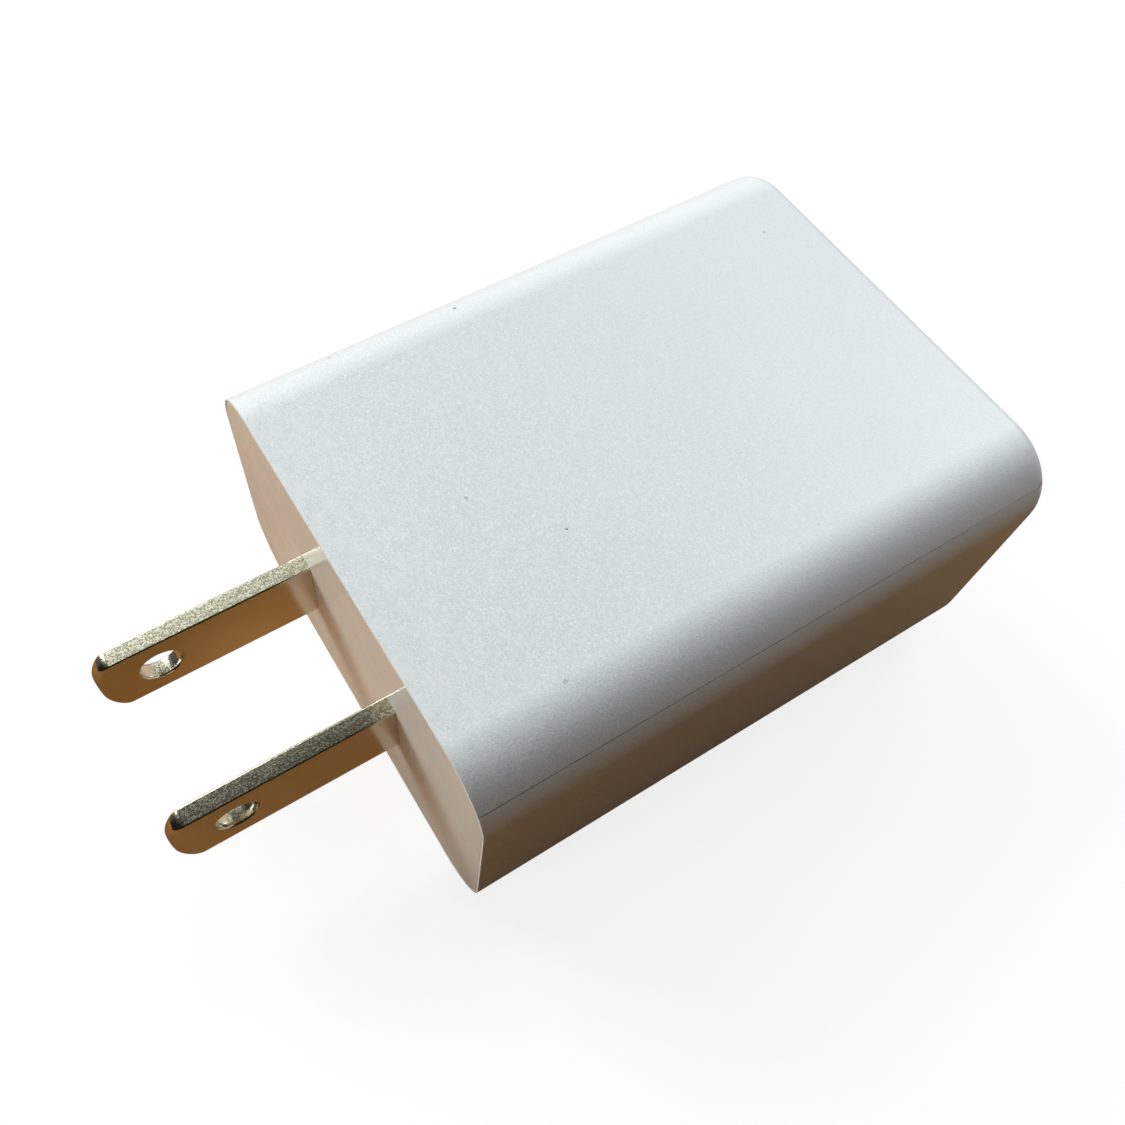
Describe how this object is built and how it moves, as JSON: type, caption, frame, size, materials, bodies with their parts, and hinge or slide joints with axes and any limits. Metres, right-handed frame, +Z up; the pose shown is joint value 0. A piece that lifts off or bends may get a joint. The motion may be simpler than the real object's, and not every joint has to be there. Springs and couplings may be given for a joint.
{
  "type": "usb wall charger",
  "caption": "White rectangular wall charger: rounded two-part shell, glossy plug end with fixed flat blades, and a USB-A port in the opposite end.",
  "frame": {"origin": "centre of the plug face, the flat face that seats against the wall outlet", "axes": "+Y out of the plug face along the blades, +X across the body, +Z up through the broad lid face; the port face is at -Y"},
  "size_m": [0.0364, 0.0634, 0.0238],
  "materials": {
    "shell": "white, fine spark-eroded texture",
    "plug_face": "white, polished",
    "blade": "bright nickel plate over brass, sheared edges left rough",
    "retainer": "natural moulded",
    "spring": "phosphor bronze, bright",
    "board": "green solder mask",
    "insulation": "thin clear-yellow film",
    "ferrite": "dark grey, ground",
    "bobbin": "black moulded",
    "winding": "enamelled copper wire",
    "tape": "yellow film tape",
    "tinned": "tinned wire",
    "bulk_sleeve": "green heat-shrunk sleeve",
    "output_sleeve": "dark blue heat-shrunk sleeve",
    "resistor": "grey-green cement coat",
    "choke": "brown sleeve over a wound drum",
    "disc_blue": "blue dipped coat",
    "chip": "black epoxy",
    "port_metal": "bright tin plate",
    "port_plastic": "white moulded",
    "contact": "gold flash over bronze"
  },
  "bodies": {
    "charger": {"housing_base": "shell", "housing_lid": "shell", "plug_plate": "plug_face", "blade_left": "blade", "blade_right": "blade", "blade_retainer": "retainer", "spring_contact_left": "spring", "spring_contact_right": "spring", "main_board": "board", "insulation_sheet": "insulation", "transformer_core_front": "ferrite", "transformer_core_rear": "ferrite", "transformer_bobbin": "bobbin", "transformer_winding": "winding", "transformer_tape": "tape", "transformer_pins": "tinned", "bulk_capacitor_inner": "bulk_sleeve", "bulk_capacitor_outer": "bulk_sleeve", "output_capacitor_left": "output_sleeve", "output_capacitor_right": "output_sleeve", "fusible_resistor": "resistor", "line_choke": "choke", "surge_varistor": "disc_blue", "safety_capacitor": "disc_blue", "bridge_rectifier": "chip", "controller_chip": "chip", "output_rectifier": "chip", "feedback_optocoupler": "chip", "surface_parts": "chip", "port_shell": "port_metal", "port_insulator": "port_plastic", "port_contact_tails": "contact"},
    "contact_1": {"port_contact_1": "contact"},
    "contact_2": {"port_contact_2": "contact"},
    "contact_3": {"port_contact_3": "contact"},
    "contact_4": {"port_contact_4": "contact"}
  },
  "joints": [
    {"name": "contact_1_flex", "type": "hinge", "parent": "charger", "child": "contact_1", "pos_m": [-0.0035, -0.03655, 0.00019], "axis": [-1, 0, 0], "range_deg": [0, 3], "stiffness_Nm_per_rad": 0.05},
    {"name": "contact_2_flex", "type": "hinge", "parent": "charger", "child": "contact_2", "pos_m": [-0.001, -0.03655, 0.00019], "axis": [-1, 0, 0], "range_deg": [0, 3], "stiffness_Nm_per_rad": 0.05},
    {"name": "contact_3_flex", "type": "hinge", "parent": "charger", "child": "contact_3", "pos_m": [0.001, -0.03655, 0.00019], "axis": [-1, 0, 0], "range_deg": [0, 3], "stiffness_Nm_per_rad": 0.05},
    {"name": "contact_4_flex", "type": "hinge", "parent": "charger", "child": "contact_4", "pos_m": [0.0035, -0.03655, 0.00019], "axis": [-1, 0, 0], "range_deg": [0, 3], "stiffness_Nm_per_rad": 0.05}
  ]
}
